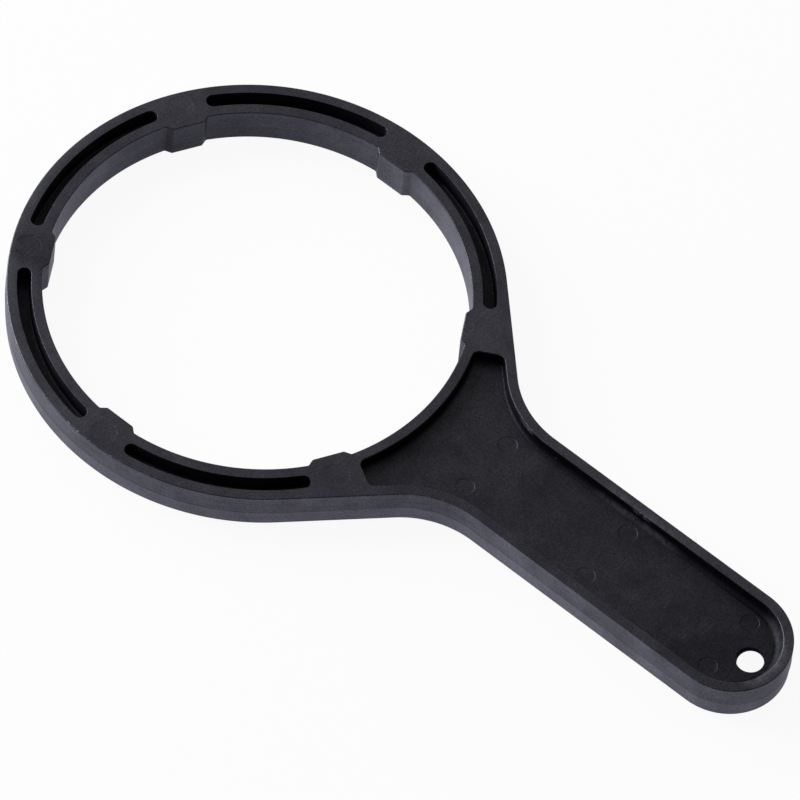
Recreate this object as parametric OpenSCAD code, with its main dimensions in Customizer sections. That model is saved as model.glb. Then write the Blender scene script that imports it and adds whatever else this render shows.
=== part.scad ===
// Filter housing wrench: one moulded piece, a ring with six inner lugs and a flat handle.
// The ring axis is the Z axis, the handle runs along +X and the underside lies on Z = 0.

/* [Ring] */
// Outside diameter of the ring
ring_outer_d = 142.3; // [140:0.1:146]
// Inside diameter of the ring between the lugs
ring_inner_d = 121.7; // [120.5:0.1:123]
// Height of the whole moulding
body_h = 12.2; // [11.6:0.1:16]

/* [Lugs] */
// Distance between the faces of two opposite lugs
lug_gap = 118.1; // [116:0.1:119]
// Width of a lug where it leaves the ring
lug_base_w = 12.7; // [11:0.1:14]
// Width of a lug's flat face
lug_face_w = 9.3; // [7:0.1:10.5]

/* [Slots] */
// Wall left between the opening and a slot
inner_wall_t = 3.1; // [2.6:0.1:3.5]
// Width of the curved slots
slot_w = 4; // [3:0.1:4.4]
// Depth of the curved slots on either face
slot_depth = 5.4; // [3:0.1:5.4]
// Width of the solid pad left at each lug
pad_w = 15; // [13:0.5:18]

/* [Handle] */
// Width of the handle
handle_w = 35.7; // [32:0.1:40]
// Distance from the ring axis to the handle's tip
reach = 189.4; // [180:0.1:230]
// Radius of the neck between ring and handle
neck_r = 29; // [22:0.5:34]
// Angle round the ring at which the neck leaves it
flare_angle = 44.7; // [42:0.1:47]

/* [Recess] */
// Width of the rim round the handle
rim_w = 3.2; // [2.4:0.1:3.6]
// Depth of the recess in the upper face
upper_depth = 4.1; // [2:0.1:4.3]
// Depth of the recess in the lower face
lower_depth = 6.8; // [3:0.1:7]
// Radius of the recess corners beside the lugs
corner_r = 1.4; // [0.6:0.1:2]

/* [Hanging hole] */
// Diameter of the hanging hole
hole_d = 8; // [5:0.1:10]
// Distance from the handle's tip to the hole's centre
hole_inset = 10.4; // [9.5:0.1:14]

/* [Ejector marks] */
// Diameter of the marks on the pads
pad_mark_d = 7.2; // [5:0.1:7.6]
// Distance of the pad marks from the ring axis
pad_mark_r = 66; // [65.5:0.1:66.5]
// Diameter of the marks on the recess floor
floor_mark_d = 5.4; // [3:0.1:6]
// Distance of the floor marks from the handle's centre line
floor_mark_y = 9.4; // [7:0.1:10]
// Distance from the handle's tip to the outermost pair of floor marks
floor_mark_inset = 17.9; // [16:0.1:24]
// Spacing of the pairs of floor marks along the handle
floor_mark_pitch = 43.5; // [30:0.5:44]
// Depth of all the marks
mark_depth = 0.15; // [0.05:0.05:0.3]

/* [Hidden] */
$fn = 96;
eps = 1;
outer_r = ring_outer_d / 2;
inner_r = ring_inner_d / 2;
lug_r = lug_gap / 2;
half_w = handle_w / 2;
pad_half = pad_w / 2;
lug_pitch = 60;
first_lug = 30;
lug_angles = [for (i = [0:5]) first_lug + lug_pitch * i];
slot_angles = [for (i = [1:5]) lug_pitch * i];
slot_inner_r = inner_r + inner_wall_t;
slot_mid_r = slot_inner_r + slot_w / 2;
slot_half_angle = lug_pitch / 2 - asin((pad_half + slot_w / 2) / slot_mid_r);
tip_x = reach - half_w;
hole_x = reach - hole_inset;
web_low = lower_depth;
web_high = body_h - upper_depth;
flare_x = cos(flare_angle);
flare_y = sin(flare_angle);
neck_y = half_w + neck_r;
neck_x = (outer_r + neck_r - neck_y * flare_y) / flare_x;
far = 400;
// Small overlap where a curve runs into a line, so that the two cross cleanly
blend = 0.02;

// Outline of the whole body to height h, drawn in by the given inset
module body_block(inset, h) {
    ring_r = outer_r - inset;
    bend_r = neck_r + inset;
    side = half_w - inset;
    leave = (ring_r - blend) * [flare_x, flare_y];
    start = [neck_x, neck_y] - (bend_r + blend) * [flare_x, flare_y];
    difference() {
        union() {
            cylinder(r = ring_r, h = h);
            linear_extrude(h) polygon([
                [0, 0], leave, start, [neck_x, neck_y], [neck_x, side], [tip_x, side],
                [tip_x, -side], [neck_x, -side], [neck_x, -neck_y], [start[0], -start[1]], [leave[0], -leave[1]]
            ]);
            translate([tip_x, 0, 0]) cylinder(r = side + blend, h = h);
        }
        for (y = [-neck_y, neck_y])
            translate([neck_x, y, -eps]) cylinder(r = bend_r + 2 * blend, h = h + 2 * eps);
    }
}

// One lug, pointing inwards from the ring on the +X side
module lug() {
    face = [lug_r, lug_face_w / 2];
    base = [sqrt(pow(inner_r, 2) - pow(lug_base_w / 2, 2)), lug_base_w / 2];
    root = base + 0.8 * (base - face);
    linear_extrude(body_h)
        polygon([face, root, [root[0], -root[1]], [face[0], -face[1]]]);
}

// One curved slot of height h with round ends, centred on the +X side
module slot(h) {
    end = 2 * slot_mid_r * [cos(slot_half_angle), sin(slot_half_angle)];
    linear_extrude(h)
    intersection() {
        difference() {
            circle(r = slot_mid_r + slot_w / 2);
            circle(r = slot_mid_r - slot_w / 2);
        }
        polygon([[0, 0], [end[0], -end[1]], end]);
    }
    for (side = [-1, 1])
        rotate(side * slot_half_angle) translate([slot_mid_r, 0, 0]) cylinder(d = slot_w + blend, h = h);
}

// What a rounded corner leaves of a sharp one: the last two points say where the round starts and stops
module corner_cut(h, sharp, centre, from, to) {
    past = 1 + 1 / corner_r;
    translate([0, 0, -eps])
    linear_extrude(h + 2 * eps)
    difference() {
        polygon([sharp, centre + past * (from - centre), centre, centre + past * (to - centre)]);
        translate(centre) circle(r = corner_r + blend / 2);
    }
}

// Corners of the recess beside the first lug, with that lug's middle line along +X
module recess_corners(h) {
    turn = flare_angle - first_lug;
    edge = outer_r - rim_w;
    wall = -pad_half;
    deep = wall - corner_r;
    near = [sqrt(pow(slot_inner_r + corner_r, 2) - pow(deep, 2)), deep];
    near_to = near * slot_inner_r / (slot_inner_r + corner_r);
    corner_cut(h, [slot_inner_r - 3, wall + 1], near, [near[0], wall], near_to);
    outer = [(edge - corner_r - deep * sin(turn)) / cos(turn), deep];
    outer_to = outer + corner_r * [cos(turn), sin(turn)];
    corner_cut(h, [outer[0] + corner_r + 3, wall + 1], outer, [outer[0], wall], outer_to);
}

// Recess of height h, which keeps a rim all round and stops at the pads of the two nearest lugs
module recess(h) {
    start = pad_half / sin(first_lug);
    stop = [start + far * cos(first_lug), far * sin(first_lug)];
    difference() {
        intersection() {
            body_block(rim_w, h);
            translate([0, 0, -eps]) linear_extrude(h + 2 * eps) polygon([[start, 0], [stop[0], -stop[1]], stop]);
        }
        translate([0, 0, -eps]) cylinder(r = slot_inner_r, h = h + 2 * eps);
        rotate(first_lug) recess_corners(h);
        mirror([0, 1, 0]) rotate(first_lug) recess_corners(h);
    }
}

// Body with its opening and lugs, before any recess
module blank() {
    difference() {
        body_block(0, body_h);
        translate([0, 0, -eps]) cylinder(r = inner_r, h = body_h + 2 * eps);
    }
    for (a = lug_angles)
        rotate(a) lug();
}

// Recesses and slots in both faces
module hollows() {
    translate([0, 0, web_high]) recess(upper_depth + eps);
    translate([0, 0, -eps]) recess(lower_depth + eps);
    for (a = slot_angles, z = [-eps, body_h - slot_depth])
        translate([0, 0, z]) rotate(a) slot(slot_depth + eps);
}

// Shallow round marks left by the ejector pins on the upper face and on the recess floor
module ejector_marks() {
    for (a = lug_angles)
        rotate(a) translate([pad_mark_r, 0, body_h - mark_depth])
            cylinder(d = pad_mark_d, h = mark_depth + eps);
    for (i = [0:2], side = [-1, 1])
        translate([reach - floor_mark_inset - floor_mark_pitch * i, side * floor_mark_y, web_high - mark_depth])
            cylinder(d = floor_mark_d, h = mark_depth + eps);
}

// The whole wrench
module wrench() {
    color([0.05, 0.05, 0.055])
    difference() {
        blank();
        hollows();
        ejector_marks();
        translate([hole_x, 0, web_low - eps]) cylinder(d = hole_d, h = web_high - web_low + 2 * eps);
    }
}

wrench();
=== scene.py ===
"""Looks of a filter housing wrench: one black moulded plastic piece on a pale studio floor.

The wrench is drawn in millimetres in the frame of the CAD part: the ring's axis is Z, the handle runs along
+X and the underside lies on Z = 0. Plan curves are sampled as whole arrays, profiles of edges and walls are
carried along them, and the flat faces between the curves are filled, so that one closed shell comes out.
"""

import logging
import math
from dataclasses import dataclass, field
from enum import Enum
from typing import Any, Sequence

import bpy
import numpy as np
from mathutils import Matrix
from mathutils.geometry import delaunay_2d_cdt


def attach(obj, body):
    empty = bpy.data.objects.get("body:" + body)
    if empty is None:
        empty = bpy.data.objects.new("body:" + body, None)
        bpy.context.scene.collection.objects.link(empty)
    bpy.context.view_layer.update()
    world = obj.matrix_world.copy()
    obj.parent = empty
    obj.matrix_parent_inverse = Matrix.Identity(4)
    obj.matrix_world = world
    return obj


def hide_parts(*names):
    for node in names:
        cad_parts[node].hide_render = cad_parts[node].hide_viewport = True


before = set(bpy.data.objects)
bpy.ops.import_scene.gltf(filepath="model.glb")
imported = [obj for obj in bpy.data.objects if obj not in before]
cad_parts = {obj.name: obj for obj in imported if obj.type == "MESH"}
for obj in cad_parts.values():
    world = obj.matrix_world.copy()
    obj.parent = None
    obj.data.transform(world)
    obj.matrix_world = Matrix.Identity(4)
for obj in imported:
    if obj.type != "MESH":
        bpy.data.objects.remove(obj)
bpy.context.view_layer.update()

LOG = logging.getLogger("wrench")
MM = 0.001
NODE = "wrench"

Level = float | np.ndarray


# Soft steps and humps


@dataclass(frozen=True)
class Rise:
    """Smooth step from 0 at start to an amount at stop, which may lie on either side of start."""

    start: float
    stop: float
    amount: float = 1.0

    def at(self, values: Level) -> Level:
        """Returns amount * t * t * (3 - 2 * t), where t runs from 0 at start to 1 at stop and stays there."""
        t = np.clip((values - self.start) / (self.stop - self.start), 0.0, 1.0)
        return self.amount * t * t * (3.0 - 2.0 * t)


@dataclass(frozen=True)
class Hump:
    """Bell curve of an amount about a middle; a power above 2 gives it a flat top."""

    middle: float
    half_width: float
    amount: float = 1.0
    power: int = 2

    def at(self, values: np.ndarray) -> np.ndarray:
        """Returns amount * e to the power of -t, where t is ((value - middle) / half_width) ** power."""
        return self.amount * np.exp(-(((values - self.middle) / self.half_width) ** self.power))


# Plan curves

# Points along the pieces of the curves
RING_POINTS = 241
FLARE_POINTS = 5
NECK_POINTS = 33
SIDE_POINTS = 9
HANDLE_POINTS = 61
TIP_POINTS = 91
GAP_POINTS = 41
LUG_POINTS = 7
SLOT_POINTS = 37
CAP_POINTS = 19
CORNER_POINTS = 9
SHORT_POINTS = 3


@dataclass(frozen=True)
class Curve:
    """Plan curve as points, with unit normals that point into the air beside it."""

    points: np.ndarray
    normals: np.ndarray

    def shifted(self, distance: float) -> "Curve":
        """Returns the curve moved along its normals: point + distance * normal."""
        return Curve(self.points + distance * self.normals, self.normals)

    def turned(self, degrees: float) -> "Curve":
        """Returns the curve turned about the ring's axis, anticlockwise from above."""
        a = math.radians(degrees)
        turn = np.array([[math.cos(a), math.sin(a)], [-math.sin(a), math.cos(a)]])
        return Curve(self.points @ turn, self.normals @ turn)

    def flipped(self) -> "Curve":
        """Returns the mirror image across the handle's middle line, run through backwards."""
        flip = np.array([1.0, -1.0])
        return Curve(self.points[::-1] * flip, self.normals[::-1] * flip)

    def angles(self) -> np.ndarray:
        """Returns the direction of each point from the ring's axis, from 0 to 360 degrees."""
        return np.degrees(np.arctan2(self.points[:, 1], self.points[:, 0])) % 360


def arc(centre: Sequence[float], radius: float, start: float, stop: float, air: int, count: int) -> Curve:
    """Samples a circular arc: centre + radius * (cos a, sin a).

    Args:
        centre: Middle of the arc.
        radius: Radius of the arc.
        start: First angle in degrees.
        stop: Last angle in degrees.
        air: 1 where the air is outside the arc, -1 where it is inside.
        count: Number of points.

    Returns:
        The arc with its normals.
    """
    a = np.radians(np.linspace(start, stop, count))
    ray = np.stack([np.cos(a), np.sin(a)], axis=1)
    return Curve(np.asarray(centre) + radius * ray, air * ray)


def line(start: Sequence[float], stop: Sequence[float], normal: Sequence[float], count: int = 2) -> Curve:
    """Samples a straight piece from start to stop with one normal.

    Args:
        start: First point.
        stop: Last point.
        normal: Unit vector into the air.
        count: Number of points.

    Returns:
        The straight piece.
    """
    t = np.linspace(0.0, 1.0, count)[:, None]
    points = (1.0 - t) * np.asarray(start) + t * np.asarray(stop)
    return Curve(points, np.tile(np.asarray(normal, float), (count, 1)))


def loop(*parts: Curve) -> Curve:
    """Joins pieces end to end into a closed curve that has the air on its right.

    Args:
        parts: Pieces in order; each one's last point is the next one's first, and is kept once.

    Returns:
        The closed curve.
    """
    points = np.concatenate([p.points[:-1] for p in parts])
    normals = np.concatenate([p.normals[:-1] for p in parts])
    ahead = np.roll(points, -1, axis=0) - np.roll(points, 1, axis=0)
    side = np.sum(ahead[:, 0] * normals[:, 1] - ahead[:, 1] * normals[:, 0])
    order = slice(None) if side < 0 else slice(None, None, -1)
    return Curve(points[order], normals[order])


@dataclass(frozen=True)
class WrenchSizes:
    """Sizes of the moulding in millimetres and degrees, as in the CAD part, and of its small trim.

    The recess corners are rounder than the CAD part's, and its hanging hole has no lean. The leans of walls
    are slopes of their facing, and the two feet say how much the recess's foot grows along the handle.
    """

    outer_r: float = 71.15
    inner_r: float = 60.85
    height: float = 12.2
    lug_r: float = 59.05
    lug_base_w: float = 12.7
    lug_face_w: float = 9.3
    lug_count: int = 6
    first_lug: float = 30.0
    lug_root_r: float = 0.7
    lug_corner_r: float = 0.8
    slot_inner_r: float = 63.95
    slot_w: float = 4.0
    slot_depth: float = 5.4
    pad_w: float = 15.0
    half_w: float = 17.85
    reach: float = 189.4
    neck_r: float = 29.0
    flare: float = 44.7
    rim_w: float = 3.2
    upper_depth: float = 4.1
    lower_depth: float = 6.8
    corner_r: float = 2.2
    hole_r: float = 4.0
    hole_inset: float = 10.4
    hole_lean: float = 0.65
    pad_mark_r: float = 3.6
    pad_mark_at: float = 66.0
    floor_mark_r: float = 2.7
    floor_mark_y: float = 9.4
    floor_mark_inset: float = 17.9
    floor_mark_pitch: float = 43.5
    floor_mark_pairs: int = 3
    floor_mark_lean: float = 0.4
    pad_mark_lean: float = 0.17
    mark_depth: float = 0.12
    edge_r: float = 0.32
    slot_edge_r: float = 0.12
    recess_edge_r: float = 0.35
    slot_floor_r: float = 0.6
    lug_floor_r: float = 0.9
    neck_foot: Rise = Rise(70, 95, 0.9)
    tip_foot: Rise = Rise(168, 184, 0.8)
    least_corner_r: float = 0.12
    hole_edge_r: float = 0.08
    draft: float = 0.15
    upper_lean: float = 0.033
    ridge_lean: float = 0.3
    lower_lean: float = 0.11
    opening_lean: tuple[float, float] = (0.02, 0.04)
    skin: float = 0.02
    wall_draft: float = 0.1
    parting_z: float = 5.4
    parting_h: float = 0.3
    parting_proud: float = 0.05

    @property
    def pitch(self) -> float:
        """Angle from one lug to the next."""
        return 360.0 / self.lug_count

    @property
    def tip_x(self) -> float:
        """Middle of the handle's round end."""
        return self.reach - self.half_w

    @property
    def bend(self) -> np.ndarray:
        """Middle of the upper neck arc, which touches the handle's side and the flare line."""
        y = self.half_w + self.neck_r
        a = math.radians(self.flare)
        return np.array([(self.outer_r + self.neck_r - y * math.sin(a)) / math.cos(a), y])

    @property
    def flare_normal(self) -> np.ndarray:
        """Direction in which the ring's edge faces where the upper flare line leaves it."""
        a = math.radians(self.flare)
        return np.array([math.cos(a), math.sin(a)])


@dataclass(frozen=True)
class WrenchPlan:
    """The wrench's closed plan curves."""

    sizes: WrenchSizes

    def outer(self) -> Curve:
        """Outside of the ring, the flares, the neck and the handle."""
        s = self.sizes
        n = s.flare_normal
        ring = arc((0, 0), s.outer_r, s.flare, 360 - s.flare, 1, RING_POINTS)
        flare = line(s.bend - s.neck_r * n, s.outer_r * n, n, FLARE_POINTS)
        neck = arc(s.bend, s.neck_r, 270, 180 + s.flare, -1, NECK_POINTS)
        side = line((s.tip_x, s.half_w), (s.bend[0], s.half_w), (0, 1), SIDE_POINTS)
        tip = arc((s.tip_x, 0), s.half_w, -90, 90, 1, TIP_POINTS)
        return loop(ring, flare.flipped(), neck.flipped(), side.flipped(), tip, side, neck, flare)

    def lug_half(self) -> list[Curve]:
        """One half of a lug on the +X side, from its middle to where it has joined the ring.

        Returns:
            The half face, its rounded corner, the sloping flank and the root that meets the ring.
        """
        s = self.sizes
        face = np.array([s.lug_r, s.lug_face_w / 2])
        base = np.array([math.sqrt(s.inner_r**2 - (s.lug_base_w / 2) ** 2), s.lug_base_w / 2])
        along = (base - face) / np.linalg.norm(base - face)
        out = np.array([-along[1], along[0]])
        corner_y = face[1] + s.lug_corner_r * (along[1] - 1.0) / along[0]
        corner = np.array([s.lug_r + s.lug_corner_r, corner_y])
        lead = face + s.lug_root_r * out
        reach = (s.inner_r - s.lug_root_r) ** 2 - lead @ lead + (lead @ along) ** 2
        root = lead + along * (math.sqrt(reach) - lead @ along)
        facing = math.degrees(math.atan2(out[1], out[0]))
        middle = math.degrees(math.atan2(root[1], root[0]))
        return [
            line((s.lug_r, 0), (s.lug_r, corner[1]), (-1, 0), SHORT_POINTS),
            arc(corner, s.lug_corner_r, 180, facing, 1, LUG_POINTS),
            line(corner + s.lug_corner_r * out, root - s.lug_root_r * out, out),
            arc(root, s.lug_root_r, facing - 180, middle, -1, LUG_POINTS),
        ]

    def opening(self) -> Curve:
        """Opening of the ring with its lugs."""
        s = self.sizes
        half = self.lug_half()
        end = half[-1].points[-1]
        edge = math.degrees(math.atan2(end[1], end[0]))
        between = arc((0, 0), s.inner_r, edge, s.pitch - edge, -1, GAP_POINTS)
        period = [c.flipped() for c in half[::-1]] + half + [between]
        angles = s.first_lug + s.pitch * np.arange(s.lug_count)
        return loop(*[c.turned(a) for a in angles for c in period])

    def slot(self, angle: float) -> Curve:
        """Curved slot with round ends between two lugs.

        Args:
            angle: Direction of the slot's middle in degrees.

        Returns:
            The closed edge of the slot.
        """
        s = self.sizes
        half_w = s.slot_w / 2
        mid_r = s.slot_inner_r + half_w
        half = s.pitch / 2 - math.degrees(math.asin((s.pad_w / 2 + half_w) / mid_r))
        a = math.radians(half)
        end = mid_r * np.array([math.cos(a), math.sin(a)])
        inner = arc((0, 0), s.slot_inner_r, -half, half, 1, SLOT_POINTS)
        cap = arc(end, half_w, half + 180, half, -1, CAP_POINTS)
        outer = arc((0, 0), s.slot_inner_r + s.slot_w, half, -half, -1, SLOT_POINTS)
        return loop(inner, cap, outer, cap.flipped()).turned(angle)

    def recess(self, inset: float) -> Curve:
        """Edge of the handle's recess, drawn in by an inset, with corners that tighten as it is drawn in.

        Args:
            inset: Distance from the recess's own edge towards its middle.

        Returns:
            The closed curve, with the same number of points for every inset.
        """
        s = self.sizes
        turn = math.radians(s.flare - s.first_lug)
        corner_r = max(s.corner_r - inset, s.least_corner_r)
        back_r = s.slot_inner_r + inset
        rim = s.rim_w + inset
        wall = s.pad_w / 2 + inset
        deep = wall + corner_r
        side = s.half_w - rim
        n = s.flare_normal
        near = np.array([math.sqrt((back_r + corner_r) ** 2 - deep**2), -deep])
        far = np.array([(s.outer_r - rim - corner_r + deep * math.sin(turn)) / math.cos(turn), -deep])
        aim = math.degrees(math.atan2(near[1], near[0]))
        beside_lug = [
            arc(near, corner_r, aim + 180, 90, -1, CORNER_POINTS),
            line((near[0], -wall), (far[0], -wall), (0, -1), SHORT_POINTS),
            arc(far, corner_r, 90, s.flare - s.first_lug, -1, CORNER_POINTS),
        ]
        beside_lug = [c.turned(s.first_lug) for c in beside_lug]
        back = arc((0, 0), back_r, -s.first_lug - aim, s.first_lug + aim, 1, SLOT_POINTS)
        flare = line(beside_lug[-1].points[-1], s.bend - (s.neck_r + rim) * n, -n, SHORT_POINTS)
        neck = arc(s.bend, s.neck_r + rim, 180 + s.flare, 270, 1, NECK_POINTS)
        straight = line((s.bend[0], side), (s.tip_x, side), (0, -1), HANDLE_POINTS)
        upper = beside_lug + [flare, neck, straight]
        tip = arc((s.tip_x, 0), side, 90, -90, -1, TIP_POINTS)
        return loop(back, *upper, tip, *[c.flipped() for c in upper[::-1]])

    def disc(self, centre: Sequence[float], radius: float, count: int) -> Curve:
        """Round edge with the air inside it, such as a hole or a mark."""
        return loop(arc(centre, radius, 0, 360, -1, count + 1))


# Profiles across edges and walls


class Zone(Enum):
    """Zones of the moulding: how far each is rubbed grey, and how strongly its skin gleams.
    The gleams are partly painted light: painted shade in the hollows and on the opening's lower half, and
    painted reflection on the outer walls, strongest on their lower half.
    """

    FACE = (0.9, 0.5)
    EDGE = (1.5, 0.5)
    # Painted reflection: the walls gleam more than the faces, the outer wall's lower half most; the opening's
    # lower half gleams less, as painted shade
    UPPER_WALL = (1.0, 0.78)
    LOWER_WALL = (1.0, 1.0)
    OPENING_HIGH = (1.0, 0.7)
    OPENING_LOW = (1.0, 0.62)
    # Painted shade: hollow walls, slot floors and recess floors gleam far less, so that they stay dark
    HOLLOW_WALL = (0.0, 0.12)
    SLOT_FLOOR = (0.0, 0.2)
    HOLLOW_FLOOR = (0.25, 0.36)


# How far up a line faces, at the least, that lies in a level face or belongs to the one beside it
LEVEL_FACE = 0.99
UPWARD = 0.5

# Lines of points round an edge and round a foot, and points round a mark and round the hanging hole
EDGE_LINES = 6
FOOT_LINES = 9
MARK_POINTS = 48
HOLE_POINTS = 72

# How much the edges are nicked
UPPER_NICKS = 1.0
LOWER_NICKS = 0.7
RIDGE_NICKS = 0.2
HOLE_NICKS = 0.3

# Rows of a recess's wall: share of the way down to the foot, and how much of a dent reaches there
RECESS_WALL = ((0.02, 1.0), (0.4, 1.0), (0.75, 0.0))

# Power of a foot's upward facing at which it shares the floor's wear
FLOOR_POWER = 8

# Rows of a mark's step: distance into the mark, share of its depth and share of its lean
MARK_STEP = ((-0.2, 0.0, 0.0), (-0.07, 0.25, 1.0), (0.07, 0.75, 1.0), (0.2, 1.0, 0.0))


@dataclass(frozen=True)
class Row:
    """One line of points along a curve: how far into the air, how deep, which way it faces and its zone."""

    out: float
    depth: float
    face_out: float
    face_up: float
    zone: Zone
    worn: float = 0.0


def bend_rows(out: float, depth: float, radius: float, start: float, stop: float, worn: float) -> list[Row]:
    """Rows round an edge that stands out: middle + radius * (cos a, sin a), facing the same way.

    A line that lies in the face has the face's zone, and the nicks are strongest half way round.

    Args:
        out: Middle of the round, towards the air.
        depth: Middle of the round, below the face.
        radius: Radius of the round.
        start: First angle in degrees above the level.
        stop: Last angle in degrees above the level.
        worn: How much the edge is nicked.

    Returns:
        The rows in order.
    """
    angles = np.radians(np.linspace(start, stop, EDGE_LINES))
    nicked = worn * np.sin(np.linspace(0.0, math.pi, EDGE_LINES)) ** 3
    rows = []
    for c, s, w in zip(np.cos(angles), np.sin(angles), nicked):
        zone = Zone.FACE if abs(s) > LEVEL_FACE else Zone.EDGE
        rows.append(Row(out + radius * c, depth - radius * s, c, s, zone, float(w)))
    return rows


def hollow_rows(edge_r: float, depth: float, lean: float, floor_r: float) -> list[Row]:
    """Rows from a face over a rounded edge, down a leaning wall and round a concave foot to a floor.

    Args:
        edge_r: Radius of the upper edge.
        depth: Depth of the floor below the face.
        lean: How far the wall leans into the hollow.
        floor_r: Radius of the concave foot.

    Returns:
        The rows from the face to the floor.
    """
    rows = bend_rows(-edge_r, edge_r, edge_r, 90, 0, UPPER_NICKS)
    angles = np.radians(np.linspace(0, 90, FOOT_LINES))
    foot = [
        Row(lean + floor_r * (1 - c), depth - floor_r * (1 - s), c, s, Zone.SLOT_FLOOR)
        for c, s in zip(np.cos(angles), np.sin(angles))
    ]
    return rows + foot


def foot_zone(rise: float) -> Zone:
    """Zone of a foot: wall except at its last line, where it faces straight up or down, so that the foot
    takes the hollow wall's painted shade.
    """
    return Zone.HOLLOW_FLOOR if rise > LEVEL_FACE else Zone.HOLLOW_WALL


# The shell

LAYERS = ("rubbed", "gleam", "worn", "scuffed")

# How much gleam a place loses for each unit that it is dulled, and how near two points count as one
DULLED_GLEAM = 0.25
SAME_POINT_MM = 1e-7


class Shell:
    """Collects the points, facings, layers and faces of one closed mesh, in millimetres."""

    def __init__(self) -> None:
        """Starts an empty shell."""
        self.points: list[np.ndarray] = []
        self.facings: list[np.ndarray] = []
        self.layers: dict[str, list[np.ndarray]] = {name: [] for name in LAYERS}
        self.quads: list[np.ndarray] = []
        self.triangles: list[np.ndarray] = []
        self.count = 0

    def ring(
        self,
        curve: Curve,
        z: Level,
        facing: tuple[float, float],
        zone: Zone,
        worn: Level = 0.0,
        scuffed: Level = 0.0,
        dulled: Level = 0.0,
    ) -> np.ndarray:
        """Adds one closed line of points. A level is one value, or one for each point.

        Args:
            curve: Plan curve of the line.
            z: Height of the line.
            facing: How far the line faces along the curve's normals, and upwards.
            zone: Zone of the line.
            worn: How much the line is nicked.
            scuffed: How much the line is scuffed grey.
            dulled: How much less rubbed grey and gleaming than its zone the line is: less handled in some
                places, painted shade in others; below 0 it is paler and brighter.

        Returns:
            The numbers of the new points.
        """
        size = len(curve.points)
        self.points.append(np.column_stack([curve.points, np.full(size, z)]))
        self.facings.append(np.column_stack([curve.normals * facing[0], np.full(size, facing[1])]))
        rubbed, gleam = zone.value
        # The rubbed and gleam layers carry the painted shade and painted reflection that dulled sets
        values = (rubbed - dulled, gleam - DULLED_GLEAM * dulled, worn, scuffed)
        for name, value in zip(LAYERS, values):
            self.layers[name].append(np.full(size, value))
        self.count += size
        return np.arange(self.count - size, self.count)

    def skirt(self, rings: Sequence[np.ndarray], flip: bool = False) -> None:
        """Joins successive lines of points with four-sided faces.

        Args:
            rings: Numbers of the points of each line, all of one length.
            flip: True where the lines run upwards.
        """
        grid = np.stack(rings)
        a, b = grid[:-1], grid[1:]
        c, d = np.roll(b, -1, axis=1), np.roll(a, -1, axis=1)
        corners = (d, c, b, a) if flip else (a, b, c, d)
        self.quads.append(np.stack(corners, axis=-1).reshape(-1, 4))

    def fill(self, loops: Sequence[np.ndarray], up: bool = True) -> None:
        """Fills the flat face between closed lines of points, of which the first goes round the others.

        All the points are joined up, and a triangle whose corners lie on one line is kept only where they
        follow one another in that line's own order, which is where the face lies beside it.

        Args:
            loops: Numbers of the points of each line.
            up: True where the face looks up.
        """
        points = np.concatenate(self.points)
        first = points[loops[0]]
        area = np.sum(first[:, 0] * np.roll(first[:, 1], -1) - first[:, 1] * np.roll(first[:, 0], -1))
        ids = np.concatenate([loops[0] if area > 0 else loops[0][::-1], *loops[1:]])
        sizes = np.array([len(one) for one in loops])
        number = np.repeat(np.arange(len(loops)), sizes)
        start = np.repeat(np.cumsum(sizes) - sizes, sizes)
        spot = np.arange(len(ids))
        edges = np.stack([spot, start + (spot - start + 1) % sizes[number]], axis=1)
        made = delaunay_2d_cdt(points[ids, :2].tolist(), edges.tolist(), [], 0, SAME_POINT_MM)
        if len(made[0]) != len(ids):
            raise ValueError("two curves of a flat face touch or cross")
        corners = np.array(made[2])
        one_line = (number[corners] == number[corners[:, :1]]).all(axis=1)
        in_order = np.sum(corners < np.roll(corners, -1, axis=1), axis=1) == 2
        faces = ids[corners[~one_line | in_order]]
        self.triangles.append(faces if up else faces[:, ::-1])

    def mesh(self, name: str) -> bpy.types.Mesh:
        """Makes the mesh in metres with its own facings and the layers of each point.

        Args:
            name: Name of the mesh.

        Returns:
            The new mesh.
        """
        faces = np.concatenate(self.quads).tolist() + np.concatenate(self.triangles).tolist()
        mesh = bpy.data.meshes.new(name)
        mesh.from_pydata((np.concatenate(self.points) * MM).tolist(), [], faces)
        mesh.shade_smooth()
        for label, values in self.layers.items():
            layer = mesh.attributes.new(label, "FLOAT", "POINT")
            layer.data.foreach_set("value", np.concatenate(values).astype(np.float32))
        facings = np.concatenate(self.facings)
        facings /= np.linalg.norm(facings, axis=1, keepdims=True)
        mesh.normals_split_custom_set_from_vertices(facings.tolist())
        return mesh


# Wear and painted shade


@dataclass(frozen=True)
class RecessWearAndShade:
    """Wear and painted shade round a recess, with one value for each point of its edge.

    The strip is a paler band along the foot, the patch a paler one on the wall at the tip, the knocks are
    dents in the edge, the rim is the flat face beside it, and the edge by the lug at 30 degrees is left
    unworn and dimmed with painted shade.
    """

    strip: np.ndarray
    patch: np.ndarray
    knock: np.ndarray
    rim: np.ndarray
    fresh_and_shaded: np.ndarray


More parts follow.
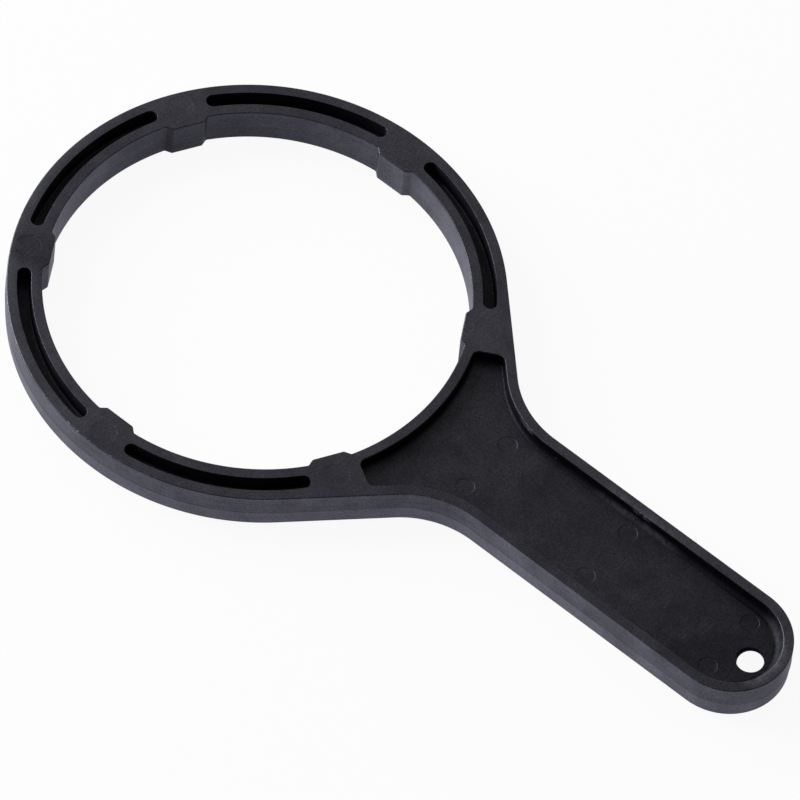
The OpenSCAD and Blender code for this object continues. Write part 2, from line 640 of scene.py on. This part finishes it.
@dataclass(frozen=True)
class WearAndShade:
    """How much the moulding is dulled below its zones' rub and gleam, or below 0 made paler and brighter.
    Part of it is less handling, and part is painted shade and painted reflection, as said beside each field.

    Places are in millimetres and angles in degrees round the ring. The tip's own steps start from its middle,
    the lug flank's from how far the wall turns off the ring's own curve, and the neck slots' from +X.
    """

    tip_x: float
    rim_along: Rise = Rise(80, 105, 0.35)
    rim_side: Rise = Rise(4, 13)
    ring_edge: Rise = Rise(68.6, 70.7)
    ring_inside: Hump = Hump(212, 14, 0.65)
    ring_outside: Hump = Hump(197, 34, -1.2)
    tip_wall: Rise = Rise(15, 17.85, 0.45)
    # Painted reflection: below 0, these brighten the outer wall by the neck on the -Y side, its lower half
    # most
    bright_neck_along: Hump = Hump(102, 20, -0.6)
    bright_neck_side: Rise = Rise(10, 16)
    lower_wall_share: float = 1.8
    # Painted light on the opening's wall: shade about 150 degrees and on the lugs' flanks, reflection about
    # 72 and 87 degrees
    opening_humps: tuple[Hump, ...] = (Hump(150, 35, 0.9), Hump(72, 18, -0.5), Hump(87, 3, -0.6))
    lug_flank: Rise = Rise(0.02, 0.2, 0.5)
    floor: Rise = Rise(140, 172, 0.4)
    # Painted shade on the hanging hole's wall
    hole_wall_shade: float = 0.4
    # Painted shade that dims the lamp's highlight on the slot edges near the neck and on the recess's edge by
    # the lug at 30 degrees; it also leaves them less pale
    neck_slots: Rise = Rise(54, 40, 1.2)
    fresh_shaded_corner: Rise = Rise(15, 22, 0.7)
    # Paler outer edges on the lower-left side: nicks and a painted edge highlight
    pale_edge_side: Hump = Hump(244, 24, 5.0)
    far_side: Rise = Rise(2, 6)
    strip_start: Rise = Rise(110, 118)
    strip_stop: Rise = Rise(145, 137)
    strip_paling: float = 1.1
    patch_along: Rise = Rise(1, 7, 0.8)
    patch_side: Rise = Rise(-12, 2)
    tip_rim: Rise = Rise(10, 14, 2.2)
    knocks: tuple[Hump, ...] = (Hump(85.5, 2.4, power=4), Hump(128, 2.4, power=4))
    knock_nicks: float = 2.0
    knock_scuffs: float = 4.0

    def rim(self, curve: Curve) -> np.ndarray:
        """How much a flat rim is dulled, on the handle's -Y side and at two places round the ring.

        Args:
            curve: Line of points on the rim.

        Returns:
            The level of each point.
        """
        x, y = curve.points.T
        angles = curve.angles()
        edge = self.ring_edge.at(np.hypot(x, y))
        ring = (1 - edge) * self.ring_inside.at(angles) + edge * self.ring_outside.at(angles)
        return self.rim_along.at(x) * self.rim_side.at(-y) + ring

    def outside(self, curve: Curve) -> np.ndarray:
        """How much the outer wall is dulled: more at the tip's end, and below 0, as painted reflection that
        brightens it, on the neck's -Y side.
        """
        x, y = curve.points.T
        return self.tip_wall.at(x - self.tip_x) + self.bright_neck_along.at(x) * self.bright_neck_side.at(-y)

    def opening(self, curve: Curve) -> np.ndarray:
        """How much the opening's wall is dulled as painted shade about 150 degrees and on the lugs' flanks,
        and brightened as painted reflection about 72 and 87 degrees.

        Args:
            curve: Line of points on the wall.

        Returns:
            The level of each point.
        """
        angles = curve.angles()
        away = curve.points / np.linalg.norm(curve.points, axis=1, keepdims=True)
        turned = 1 + np.sum(away * curve.normals, axis=1)
        return sum(hump.at(angles) for hump in self.opening_humps) + self.lug_flank.at(turned)

    def recess(self, x: np.ndarray, y: np.ndarray) -> RecessWearAndShade:
        """Works out where the upper recess is worn, from soft steps and humps along the handle.

        Args:
            x: Place of each point of the recess's edge along the handle.
            y: Place of each point across the handle.

        Returns:
            The wear of each point.
        """
        far = self.far_side.at(y)
        past = x - self.tip_x
        strip = far * self.strip_start.at(x) * self.strip_stop.at(x)
        patch = self.patch_along.at(past) * self.patch_side.at(y)
        knock = far * sum(hump.at(x) for hump in self.knocks)
        return RecessWearAndShade(strip, patch, knock, strip + self.tip_rim.at(past), self.fresh_shaded_corner.at(y))


# The moulding


@dataclass
class Wrench:
    """The whole moulding: ring, lugs, slots, handle, recesses, hanging hole and ejector marks."""

    sizes: WrenchSizes = field(default_factory=WrenchSizes)
    shell: Shell = field(default_factory=Shell)

    def __post_init__(self) -> None:
        """Draws the plan and places the wear and painted shade from the sizes."""
        self.plan = WrenchPlan(self.sizes)
        self.wear_and_shade = WearAndShade(self.sizes.tip_x)

    def outer_wall(self) -> tuple[np.ndarray, np.ndarray]:
        """Carries the outside profile: round edges, walls that lean to a parting line, and its ridge.

        Returns:
            The numbers of the uppermost and of the lowest line of points.
        """
        s = self.sizes
        r, h = s.edge_r, s.height
        split = h - s.parting_z
        half = s.parting_h / 2
        rows = bend_rows(-s.draft - r, r, r, 90, 0, UPPER_NICKS)
        rows += [
            Row(-s.draft, r + s.skin, 1, s.upper_lean, Zone.UPPER_WALL),
            Row(0, split - half, 1, s.upper_lean, Zone.UPPER_WALL),
            Row(s.parting_proud, split - half / 2, 1, s.ridge_lean, Zone.UPPER_WALL, RIDGE_NICKS),
            Row(s.parting_proud, split + half / 2, 1, -s.ridge_lean, Zone.LOWER_WALL, RIDGE_NICKS),
            Row(0, split + half, 1, -s.lower_lean, Zone.LOWER_WALL),
            Row(-s.draft, h - r - s.skin, 1, -s.lower_lean, Zone.LOWER_WALL),
        ]
        rows += bend_rows(-s.draft - r, h - r, r, 0, -90, LOWER_NICKS)
        curve = self.plan.outer()
        # On the lower-left side the outer edges get a paler line: nicks together with a painted edge
        # highlight
        edge_paling = 1 + self.wear_and_shade.pale_edge_side.at(curve.angles())
        return self.side_rings(curve, rows, self.wear_and_shade.outside(curve), edge_paling)

    def opening_wall(self) -> tuple[np.ndarray, np.ndarray]:
        """Carries the opening's profile: round edges and a wall that widens downwards, with a parting line.

        Returns:
            The numbers of the uppermost and of the lowest line of points.
        """
        s = self.sizes
        r, h = s.edge_r, s.height
        split = h - s.parting_z
        high, low = s.opening_lean
        rows = bend_rows(-r, r, r, 90, 0, UPPER_NICKS)
        rows += [
            Row(0, r + s.skin, 1, -high, Zone.OPENING_HIGH),
            Row(-s.draft / 2, split - s.skin, 1, -high, Zone.OPENING_HIGH),
            Row(-s.draft / 2, split + s.skin, 1, -low, Zone.OPENING_LOW),
            Row(-s.draft, h - r - s.skin, 1, -low, Zone.OPENING_LOW),
        ]
        rows += bend_rows(-s.draft - r, h - r, r, 0, -90, LOWER_NICKS)
        curve = self.plan.opening()
        return self.side_rings(curve, rows, self.wear_and_shade.opening(curve), 1.0)

    def side_rings(
        self, curve: Curve, rows: Sequence[Row], wall_dulled: np.ndarray, edge_paling: Level
    ) -> tuple[np.ndarray, np.ndarray]:
        """Carries rows along a curve from the upper face to the lower one.

        Args:
            curve: Plan curve of the wall.
            rows: Rows from the top down.
            wall_dulled: How much the wall is dulled, partly as painted shade and painted reflection, for each
                point of the curve.
            edge_paling: How many times as much as its rows say the curve's edges are paled by nicks, which on
                the outer wall's lower-left side also stands for a painted edge highlight.

        Returns:
            The numbers of the uppermost and of the lowest line of points.
        """
        rings = []
        for row in rows:
            moved = curve.shifted(row.out)
            # The outer wall's lower half is dulled or brightened more than the rest of the wall
            share = self.wear_and_shade.lower_wall_share if row.zone is Zone.LOWER_WALL else 1.0
            dulled = self.wear_and_shade.rim(moved) if row.face_up > UPWARD else share * wall_dulled
            z = self.sizes.height - row.depth
            facing = (row.face_out, row.face_up)
            rings.append(self.shell.ring(moved, z, facing, row.zone, edge_paling * row.worn, dulled=dulled))
        self.shell.skirt(rings)
        return rings[0], rings[-1]

    def slot_pocket(self, angle: float, up: bool) -> np.ndarray:
        """Sinks one curved slot into a face: down from the upper one, or up from the lower one.

        Args:
            angle: Direction of the slot's middle in degrees.
            up: True for the upper face.

        Returns:
            The numbers of the points on the face.
        """
        s = self.sizes
        way, start = (1, s.height) if up else (-1, 0.0)
        curve = self.plan.slot(angle)
        # The slots' edges near the neck are dimmed: painted shade over the lamp's highlight, and less paling
        fresh_and_shaded = self.wear_and_shade.neck_slots.at(180 - np.abs(180 - curve.angles()))
        rings = []
        for row in hollow_rows(s.slot_edge_r, s.slot_depth, s.wall_draft, s.slot_floor_r):
            facing = (row.face_out, way * row.face_up)
            dulled = fresh_and_shaded if row.zone is Zone.EDGE else 0.0
            z = start - way * row.depth
            moved = curve.shifted(row.out)
            rings.append(self.shell.ring(moved, z, facing, row.zone, row.worn, dulled=dulled))
        self.shell.skirt(rings, flip=not up)
        self.shell.fill([rings[-1]], up)
        return rings[0]

    def recess_pocket(self, depth: float, up: bool) -> tuple[np.ndarray, np.ndarray]:
        """Sinks the handle's recess into a face, with a concave foot that grows towards the tip.

        The foot is point + normal * r * (1 - cos a) at r * (1 - sin a) above the floor, where r follows x.

        Args:
            depth: Depth of the floor below the face.
            up: True for the upper face, which is the worn one.

        Returns:
            The numbers of the points on the face and on the floor.
        """
        s = self.sizes
        way, start = (1, s.height) if up else (-1, 0.0)
        r, shown = s.recess_edge_r, float(up)
        foot = self.plan.recess(s.wall_draft)
        x, y = foot.points.T
        wear_and_shade, local = self.wear_and_shade, self.wear_and_shade.recess(x, y)
        radius = s.lug_floor_r + s.neck_foot.at(x) + s.tip_foot.at(x)
        rings = []
        for row in bend_rows(-r, r, r, 90, 0, UPPER_NICKS):
            curve, facing = self.plan.recess(row.out), (row.face_out, way * row.face_up)
            z = start - way * row.depth
            nicked = row.worn * (1 + shown * (wear_and_shade.knock_nicks * local.knock - local.patch))
            scuffed = shown * local.rim * (row.face_up > UPWARD)
            # Painted shade dims the recess's edge by the lug at 30 degrees
            dulled = shown * (wear_and_shade.rim(curve) + local.fresh_and_shaded * (row.zone is Zone.EDGE))
            rings.append(self.shell.ring(curve, z, facing, row.zone, nicked, scuffed, dulled))
        for share, dented in RECESS_WALL:
            curve = self.plan.recess(share * s.wall_draft)
            z = start - way * (r + share * (depth - radius - r))
            scuffed = shown * (wear_and_shade.knock_scuffs * dented * local.knock + local.patch)
            rings.append(self.shell.ring(curve, z, (1, 0), Zone.HOLLOW_WALL, scuffed=scuffed))
        for a in np.radians(np.linspace(0, 90, FOOT_LINES)):
            c, n = math.cos(a), math.sin(a)
            curve = Curve(foot.points + (radius * (1 - c))[:, None] * foot.normals, foot.normals)
            z = start - way * (depth - radius * (1 - n))
            scuffed = wear_and_shade.strip_paling * local.strip * math.sin(2 * a) + local.patch * math.sqrt(c)
            dulled = shown * n**FLOOR_POWER * wear_and_shade.floor.at(x)
            zone, facing = foot_zone(n), (c, way * n)
            rings.append(self.shell.ring(curve, z, facing, zone, scuffed=shown * scuffed, dulled=dulled))
        self.shell.skirt(rings, flip=not up)
        return rings[0], rings[-1]

    def mark(self, centre: Sequence[float], radius: float, z: float, lean: float, zone: Zone) -> np.ndarray:
        """Sinks one shallow round ejector mark with a soft step into an upward face.

        Args:
            centre: Middle of the mark.
            radius: Radius of the mark.
            z: Height of the face.
            lean: How far the step's facing leans towards the mark's middle.
            zone: Zone of the face.

        Returns:
            The numbers of the points on the face.
        """
        curve = self.plan.disc(centre, radius, MARK_POINTS)
        depth = self.sizes.mark_depth
        on_floor = zone is Zone.HOLLOW_FLOOR
        dulled = self.wear_and_shade.floor.at(centre[0]) if on_floor else self.wear_and_shade.rim(curve)
        rings = [
            self.shell.ring(curve.shifted(out), z - depth * share, (lean * turned, 1.0), zone, dulled=dulled)
            for out, share, turned in MARK_STEP
        ]
        self.shell.skirt(rings)
        self.shell.fill([rings[-1]])
        return rings[0]

    def hole(self) -> tuple[np.ndarray, np.ndarray]:
        """Cuts the hanging hole through the web between the two recess floors.

        Its wall leans towards the tip on the ring's side: x + lean * depth share * (1 + normal x) / 2.

        Returns:
            The numbers of the points on the upper and on the lower floor.
        """
        s = self.sizes
        r, high = s.hole_edge_r, s.height - s.upper_depth
        web = high - s.lower_depth
        curve = self.plan.disc((s.reach - s.hole_inset, 0), s.hole_r, HOLE_POINTS)
        to_tip = s.hole_lean * (1 + curve.normals[:, :1]) / 2 * np.array([1.0, 0.0])
        rows = bend_rows(-r, r, r, 90, 0, HOLE_NICKS) + bend_rows(-r, web - r, r, 0, -90, HOLE_NICKS)
        rings = []
        for row in rows:
            moved = Curve(curve.shifted(row.out).points + row.depth / web * to_tip, curve.normals)
            zone, facing = foot_zone(abs(row.face_up)), (row.face_out, row.face_up)
            floor = self.wear_and_shade.floor.at(s.reach) * (row.face_up > LEVEL_FACE)
            # Painted shade: the hole's wall is dulled beyond its hollow zone, standing for the shade under
            # the handle
            dulled = self.wear_and_shade.hole_wall_shade if zone is Zone.HOLLOW_WALL else floor
            rings.append(self.shell.ring(moved, high - row.depth, facing, zone, row.worn, dulled=dulled))
        self.shell.skirt(rings)
        return rings[0], rings[-1]

    def build(self) -> bpy.types.Object:
        """Builds the shell and returns it as an object at the origin."""
        s = self.sizes
        upper, lower = [], []
        for high, low in (self.outer_wall(), self.opening_wall()):
            upper.append(high)
            lower.append(low)
        for angle in s.pitch * np.arange(1, s.lug_count):
            upper.append(self.slot_pocket(angle, True))
            lower.append(self.slot_pocket(angle, False))
        hole_high, hole_low = self.hole()
        rim, floor = self.recess_pocket(s.upper_depth, True)
        upper.append(rim)
        along = s.reach - s.floor_mark_inset - s.floor_mark_pitch * np.arange(s.floor_mark_pairs)
        floor_z = s.height - s.upper_depth
        spots = [(x, side * s.floor_mark_y) for x in along for side in (-1, 1)]
        zone = Zone.HOLLOW_FLOOR
        marks = [self.mark(spot, s.floor_mark_r, floor_z, s.floor_mark_lean, zone) for spot in spots]
        self.shell.fill([floor, hole_high] + marks)
        rim, floor = self.recess_pocket(s.lower_depth, False)
        lower.append(rim)
        self.shell.fill([floor, hole_low], up=False)
        angles = np.radians(s.first_lug + s.pitch * np.arange(s.lug_count))
        pads = s.pad_mark_at * np.stack([np.cos(angles), np.sin(angles)], axis=1)
        upper += [self.mark(pad, s.pad_mark_r, s.height, s.pad_mark_lean, Zone.FACE) for pad in pads]
        self.shell.fill(upper)
        self.shell.fill(lower, up=False)
        made = bpy.data.objects.new("wrench_moulding", self.shell.mesh("wrench_moulding"))
        bpy.context.scene.collection.objects.link(made)
        return made


# Finishes

NOISE = (0.3, 0.7)
RANGE = ("From Min", "From Max", "To Min", "To Max")
TIMES = {"operation": "MULTIPLY"}
LARGEST = {"operation": "MAXIMUM"}
COLOURS = {"data_type": "RGBA"}

# Numbers of a colour mix's two inputs and of its output
MIX_FROM = 6
MIX_TO = 7
MIX_OUT = 2

Socket = bpy.types.NodeSocket
Tree = bpy.types.NodeTree


def linear(code: str) -> tuple[float, float, float, float]:
    """Turns an sRGB hex colour such as #1b1b1e into linear red, green, blue and full alpha."""
    parts = np.array([int(code[i : i + 2], 16) for i in (1, 3, 5)]) / 255.0
    values = np.where(parts <= 0.04045, parts / 12.92, ((parts + 0.055) / 1.055) ** 2.4)
    return (*map(float, values), 1.0)


def per_metre(size_mm: float) -> float:
    """Texture scale at which one feature of a pattern is about size_mm wide."""
    return 1.0 / (size_mm * MM)


def add_node(
    tree: Tree, kind: str, settings: dict[Any, Any], links: dict[Any, Socket], out: str | int = 0
) -> Socket | None:
    """Adds a node, sets its options and inputs, and links other nodes' outputs to it.

    Args:
        tree: Node tree to add to.
        kind: Node type, without the word ShaderNode that each begins with.
        settings: Options by name, and input values by the input's name or number.
        links: Outputs by the name or number of the input that they feed.
        out: Name or number of the output that is wanted.

    Returns:
        That output, or nothing from a node that has no outputs.
    """
    node = tree.nodes.new("ShaderNode" + kind)
    options = {name for name in settings if isinstance(name, str) and name in node.bl_rna.properties}
    for name in options:
        setattr(node, name, settings[name])
    for name in settings.keys() - options:
        node.inputs[name].default_value = settings[name]
    for name, output in links.items():
        tree.links.new(output, node.inputs[name])
    return node.outputs[out] if node.outputs else None


@dataclass(frozen=True)
class Pattern:
    """Random pattern: size of a feature in millimetres, detail, roughness, and its range before and after."""

    size_mm: float
    detail: float
    rough: float
    span: tuple[float, float, float, float]


@dataclass(frozen=True)
class MouldedPlastic:
    """Black polypropylene, injection moulded in a finely spark-eroded tool and handled since.

    It gives the eye a near-black body under a soft, slightly bluish sheen: the hollows stay deep black,
    partly as painted shade through their lowered sheen, the faces that hands and benches rub turn grey and
    smoother, and the edges carry pale nicks.
    The grain is really about a tenth of a millimetre wide, and is drawn coarser so that it shows.
    """

    pigment: str = "#0b0b11"
    rubbed: str = "#1d1d23"
    nick: str = "#84848a"
    sheen_tint: str = "#f2f1ff"
    ior: float = 1.56
    roughness: tuple[float, float] = (0.5, 0.38)
    grain_mm: float = 0.55
    grain_gleam: tuple[float, float] = (0.6, 1.4)
    grain_bump: float = 0.25
    grain_deep_mm: float = 0.1
    cloud_mm: float = 8.0
    cloud_gleam: tuple[float, float] = (0.8, 1.2)
    cloud_rub: tuple[float, float] = (0.6, 1.3)
    tool_line_mm: tuple[float, float] = (28.0, 0.7)
    tool_line_gleam: tuple[float, float] = (0.86, 1.14)
    nicks: tuple[Pattern, ...] = (
        Pattern(0.8, 3.0, 0.6, (0.48, 0.66, 0.0, 0.45)),
        Pattern(7.2, 1.0, 0.6, (0.5, 0.62, 0.1, 1.0)),
    )
    scuffs: tuple[Pattern, ...] = (Pattern(2.5, 4.0, 0.7, (0.35, 0.65, 0.01, 0.2)),)
    speck_mm: float = 2.4
    speck_chosen: tuple[float, float] = (0.88, 0.9)
    speck_reach: tuple[float, float] = (0.05, 0.09)
    speck_most: float = 0.35
    scratch_mm: tuple[float, float] = (0.35, 9.0)
    scratch_turns: tuple[float, float] = (0.5, 2.2)
    scratch_span: tuple[float, float] = (0.66, 0.78)
    scratch_clouds: tuple[float, float] = (0.45, 0.6)
    scratch_most: float = 0.12

    def build(self) -> bpy.types.Material:
        """Returns the material with its colour, sheen, grain and wear."""
        material = bpy.data.materials.new("moulded_black_polypropylene")
        material.use_nodes = True
        tree = material.node_tree
        tree.nodes.clear()
        place = add_node(tree, "TexCoord", {}, {}, "Object")
        rubbed, gleam, worn, scuffed = [
            add_node(tree, "Attribute", {"attribute_name": name}, {}, "Fac") for name in LAYERS
        ]
        lumps = {"Scale": per_metre(self.cloud_mm), "Detail": 4.0, "Roughness": 0.6}
        cloud = add_node(tree, "TexNoise", lumps, {"Vector": place})
        lumps = {"Scale": per_metre(self.grain_mm), "Detail": 2.0, "Roughness": 0.6}
        grain = add_node(tree, "TexNoise", lumps, {"Vector": place})
        blotches = add_node(tree, "MapRange", dict(zip(RANGE, NOISE + self.cloud_rub)), {"Value": cloud})
        handled = add_node(tree, "Math", TIMES, {0: rubbed, 1: blotches})
        shades = {"clamp_factor": False, MIX_FROM: linear(self.pigment), MIX_TO: linear(self.rubbed)}
        colour = add_node(tree, "Mix", COLOURS | shades, {0: handled}, MIX_OUT)
        marks = self.broken(tree, place, worn, self.nicks)
        for other in (
            self.broken(tree, place, scuffed, self.scuffs),
            self.specks(tree, place),
            self.scratches(tree, place, cloud),
        ):
            marks = add_node(tree, "Math", LARGEST, {0: marks, 1: other})
        pale = COLOURS | {MIX_TO: linear(self.nick)}
        colour = add_node(tree, "Mix", pale, {0: marks, MIX_FROM: colour}, MIX_OUT)
        raised = {"Strength": self.grain_bump, "Distance": self.grain_deep_mm * MM}
        smooth = (0.0, self.cloud_rub[1]) + self.roughness
        shader = add_node(
            tree,
            "BsdfPrincipled",
            {"IOR": self.ior, "Specular Tint": linear(self.sheen_tint)},
            {
                "Base Color": colour,
                "Roughness": add_node(tree, "MapRange", dict(zip(RANGE, smooth)), {"Value": handled}),
                "Specular IOR Level": self.sheen(tree, place, gleam, grain, cloud),
                "Normal": add_node(tree, "Bump", raised, {"Height": grain}),
            },
        )
        add_node(tree, "OutputMaterial", {}, {"Surface": shader})
        return material

    def sheen(self, tree: Tree, place: Socket, gleam: Socket, grain: Socket, cloud: Socket) -> Socket:
        """Each zone's own gleam, made uneven by the grain, by clouds and by the mould's level tool marks.

        Args:
            tree: Node tree of the material.
            place: Place on the moulding.
            gleam: Gleam of the zone.
            grain: Fine random pattern.
            cloud: Coarse random pattern.

        Returns:
            The strength of the sheen.
        """
        along, across = (per_metre(size) for size in self.tool_line_mm)
        mapped = add_node(tree, "Mapping", {"Scale": (along, along, across)}, {"Vector": place})
        lines = add_node(tree, "TexNoise", {"Scale": 1.0, "Detail": 1.0}, {"Vector": mapped})
        parts = ((grain, self.grain_gleam), (cloud, self.cloud_gleam), (lines, self.tool_line_gleam))
        for pattern, wanted in parts:
            uneven = add_node(tree, "MapRange", dict(zip(RANGE, NOISE + wanted)), {"Value": pattern})
            gleam = add_node(tree, "Math", TIMES, {0: gleam, 1: uneven})
        return gleam

    def broken(self, tree: Tree, place: Socket, level: Socket, patterns: Sequence[Pattern]) -> Socket:
        """Breaks up wear, such as the pale line of nicks along an edge or a soft scuff, by random patterns.

        Args:
            tree: Node tree of the material.
            place: Place on the moulding.
            level: How far the place is worn.
            patterns: Patterns that the wear is multiplied by.

        Returns:
            The share of the pale colour.
        """
        for one in patterns:
            lumps = {"Scale": per_metre(one.size_mm), "Detail": one.detail, "Roughness": one.rough}
            noise = add_node(tree, "TexNoise", lumps, {"Vector": place})
            noise = add_node(tree, "MapRange", dict(zip(RANGE, one.span)), {"Value": noise})
            level = add_node(tree, "Math", TIMES, {0: level, 1: noise})
        return level

    def specks(self, tree: Tree, place: Socket) -> Socket:
        """Sparse pale dust specks: about one cell in ten of a random pattern of dots shows its dot.

        Args:
            tree: Node tree of the material.
            place: Place on the moulding.

        Returns:
            The share of the pale colour.
        """
        cells = {"Scale": per_metre(self.speck_mm)}
        dots = add_node(tree, "TexVoronoi", cells, {"Vector": place}).node.outputs
        picked = dict(zip(RANGE, self.speck_chosen + (0.0, self.speck_most)))
        chosen = add_node(tree, "MapRange", picked, {"Value": dots["Color"]})
        near = dict(zip(RANGE, self.speck_reach + (1.0, 0.0)))
        close = add_node(tree, "MapRange", near, {"Value": dots["Distance"]})
        return add_node(tree, "Math", TIMES, {0: chosen, 1: close})

    def scratches(self, tree: Tree, place: Socket, cloud: Socket) -> Socket:
        """Faint pale drag marks in two directions, gathered where the cloudy pattern is light.

        Args:
            tree: Node tree of the material.
            place: Place on the moulding.
            cloud: Coarse random pattern.

        Returns:
            The share of the pale colour.
        """
        thin, long = (per_metre(size) for size in self.scratch_mm)
        wavy = {"Scale": 1.0, "Detail": 1.0, "Distortion": 0.8}
        faint = dict(zip(RANGE, self.scratch_span + (0.0, self.scratch_most)))
        found = []
        for turn in self.scratch_turns:
            laid = {"Rotation": (0.0, 0.0, turn), "Scale": (thin, long, thin)}
            mapped = add_node(tree, "Mapping", laid, {"Vector": place})
            lines = add_node(tree, "TexNoise", wavy, {"Vector": mapped})
            found.append(add_node(tree, "MapRange", faint, {"Value": lines}))
        both = add_node(tree, "Math", LARGEST, dict(enumerate(found)))
        cloudy = dict(zip(RANGE, self.scratch_clouds + (0.0, 1.0)))
        gathered = add_node(tree, "MapRange", cloudy, {"Value": cloud})
        return add_node(tree, "Math", TIMES, {0: both, 1: gathered})


@dataclass(frozen=True)
class PaleFloor:
    """Matt white paper sweep: it shows white to the camera and in reflections, and keeps a soft shadow."""

    paper: str = "#fafafa"
    white: str = "#ffffff"
    shown: float = 0.93
    mirrored: float = 0.62
    mirrored_tone: str = "#ecebff"
    half_size_m: float = 6.0
    gap_mm: float = 0.05

    def build(self) -> bpy.types.Object:
        """Returns the floor as an object just under the wrench."""
        size = self.half_size_m
        corners = np.array([(-size, -size), (size, -size), (size, size), (-size, size)])
        points = np.hstack([corners, np.full((4, 1), -self.gap_mm * MM)])
        mesh = bpy.data.meshes.new("paper_floor")
        mesh.from_pydata(points.tolist(), [], [(0, 1, 2, 3)])
        material = bpy.data.materials.new("white_paper")
        material.use_nodes = True
        tree = material.node_tree
        tree.nodes.clear()
        path = add_node(tree, "LightPath", {}, {}).node.outputs
        tones = COLOURS | {MIX_FROM: linear(self.mirrored_tone), MIX_TO: linear(self.white)}
        tone = add_node(tree, "Mix", tones, {0: path["Is Camera Ray"]}, MIX_OUT)
        glow = add_node(tree, "Emission", {"Strength": 1.0}, {"Color": tone})
        matt = add_node(tree, "BsdfDiffuse", {"Color": linear(self.paper)}, {})
        both = add_node(tree, "MixShader", {}, {0: self.seen(tree, path), 1: matt, 2: glow})
        add_node(tree, "OutputMaterial", {}, {"Surface": both})
        mesh.materials.append(material)
        made = bpy.data.objects.new("paper_floor", mesh)
        bpy.context.scene.collection.objects.link(made)
        return made

    def seen(self, tree: Tree, path: bpy.types.NodeOutputs) -> Socket:
        """How far the camera, reflections and clear things see the paper as plain white.

        Args:
            tree: Node tree of the paper.
            path: Outputs that tell the kinds of ray apart.

        Returns:
            The share of plain white.
        """
        rays = {0: path["Is Glossy Ray"], 1: path["Is Transmission Ray"]}
        shiny = add_node(tree, "Math", LARGEST, rays)
        weak = add_node(tree, "Math", TIMES | {1: self.mirrored}, {0: shiny})
        strong = add_node(tree, "Math", TIMES | {1: self.shown}, {0: path["Is Camera Ray"]})
        return add_node(tree, "Math", LARGEST, {0: weak, 1: strong})


# Studio


@dataclass(frozen=True)
class Softbox:
    """Square lamp that looks at a point."""

    name: str
    place_m: tuple[float, float, float]
    aim_m: tuple[float, float, float]
    size_m: float
    watts: float
    colour: str

    def build(self) -> bpy.types.Object:
        """Returns the lamp as an object."""
        lamp = bpy.data.lights.new(self.name, "AREA")
        lamp.size = self.size_m
        lamp.energy = self.watts
        lamp.color = linear(self.colour)[:3]
        made = bpy.data.objects.new(self.name, lamp)
        back = np.array(self.place_m) - np.array(self.aim_m)
        made.matrix_world = looking(np.array(self.place_m), back / np.linalg.norm(back), 0.0)
        bpy.context.scene.collection.objects.link(made)
        return made


def looking(eye: np.ndarray, back: np.ndarray, roll: float) -> Matrix:
    """Matrix of a camera or lamp that looks against a direction.

    Args:
        eye: Its place.
        back: Unit vector from what it looks at towards it.
        roll: Turn about its line of sight in radians.

    Returns:
        The matrix, with right, up and back as its axes.
    """
    level = np.cross((0.0, 0.0, 1.0), back)
    level /= np.linalg.norm(level)
    above = np.cross(back, level)
    right = math.cos(roll) * level + math.sin(roll) * above
    up = math.cos(roll) * above - math.sin(roll) * level
    made = np.eye(4)
    made[:3] = np.stack([right, up, back, eye], axis=1)
    return Matrix(made.tolist())


@dataclass(frozen=True)
class Studio:
    """Camera at the photograph's angle, a room that is pale on one side, and a softbox."""

    azimuth: float = 33.946
    elevation: float = 56.258
    roll: float = 7.173
    target_mm: tuple[float, float] = (49.52, 4.943)
    distance_mm: float = 2137.0
    lens_mm: float = 340.8
    sensor_mm: float = 36.0
    clip_m: tuple[float, float] = (0.05, 50.0)
    sky: str = "#ffffff"
    sky_bright: float = 0.46
    sky_dark: float = 0.06
    sky_span: tuple[float, float] = (-0.1, 0.85)
    bright_side: tuple[float, float, float] = (-0.55, 0.65, 0.52)
    lamp: Softbox = Softbox("left_softbox", (-1.6, -0.3, 0.85), (0.06, 0.0, 0.0), 1.3, 48.0, "#f4f5ff")

    def build(self) -> None:
        """Sets up the camera, the room and the lamp."""
        scene = bpy.context.scene
        scene.view_settings.view_transform = "Standard"
        a, e = math.radians(self.azimuth), math.radians(self.elevation)
        back = np.array([math.sin(a) * math.cos(e), -math.cos(a) * math.cos(e), math.sin(e)])
        target = np.array([*self.target_mm, 0.0])
        camera = bpy.data.cameras.new("camera")
        camera.lens = self.lens_mm
        camera.sensor_width = self.sensor_mm
        camera.clip_start, camera.clip_end = self.clip_m
        made = bpy.data.objects.new("camera", camera)
        made.matrix_world = looking((target + back * self.distance_mm) * MM, back, math.radians(self.roll))
        scene.collection.objects.link(made)
        scene.camera = made
        self.lamp.build()
        scene.world = self.room()

    def room(self) -> bpy.types.World:
        """Returns a room that is pale behind and above the wrench and dark on the camera's side."""
        world = bpy.data.worlds.new("studio_room")
        world.use_nodes = True
        tree = world.node_tree
        tree.nodes.clear()
        facing = add_node(tree, "TexCoord", {}, {}, "Generated")
        turn = {"operation": "DOT_PRODUCT", 1: self.bright_side}
        side = add_node(tree, "VectorMath", turn, {0: facing}, "Value")
        levels = dict(zip(RANGE, self.sky_span + (self.sky_dark, self.sky_bright)))
        level = add_node(tree, "MapRange", levels, {"Value": side})
        lit = add_node(tree, "Background", {"Color": linear(self.sky)}, {"Strength": level})
        add_node(tree, "OutputWorld", {}, {"Surface": lit})
        return world


def main() -> None:
    """Builds the wrench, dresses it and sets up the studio."""
    logging.basicConfig(level=logging.INFO, format="%(name)s: %(message)s")
    moulding = Wrench().build()
    moulding.data.materials.append(MouldedPlastic().build())
    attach(moulding, "root")
    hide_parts(NODE)
    LOG.info("moulding: %d points, %d faces", len(moulding.data.vertices), len(moulding.data.polygons))
    floor = PaleFloor().build()
    LOG.info("floor: white paper")
    Studio().build()
    LOG.info("studio: camera, room and lamp")


if __name__ == "__main__":
    main()
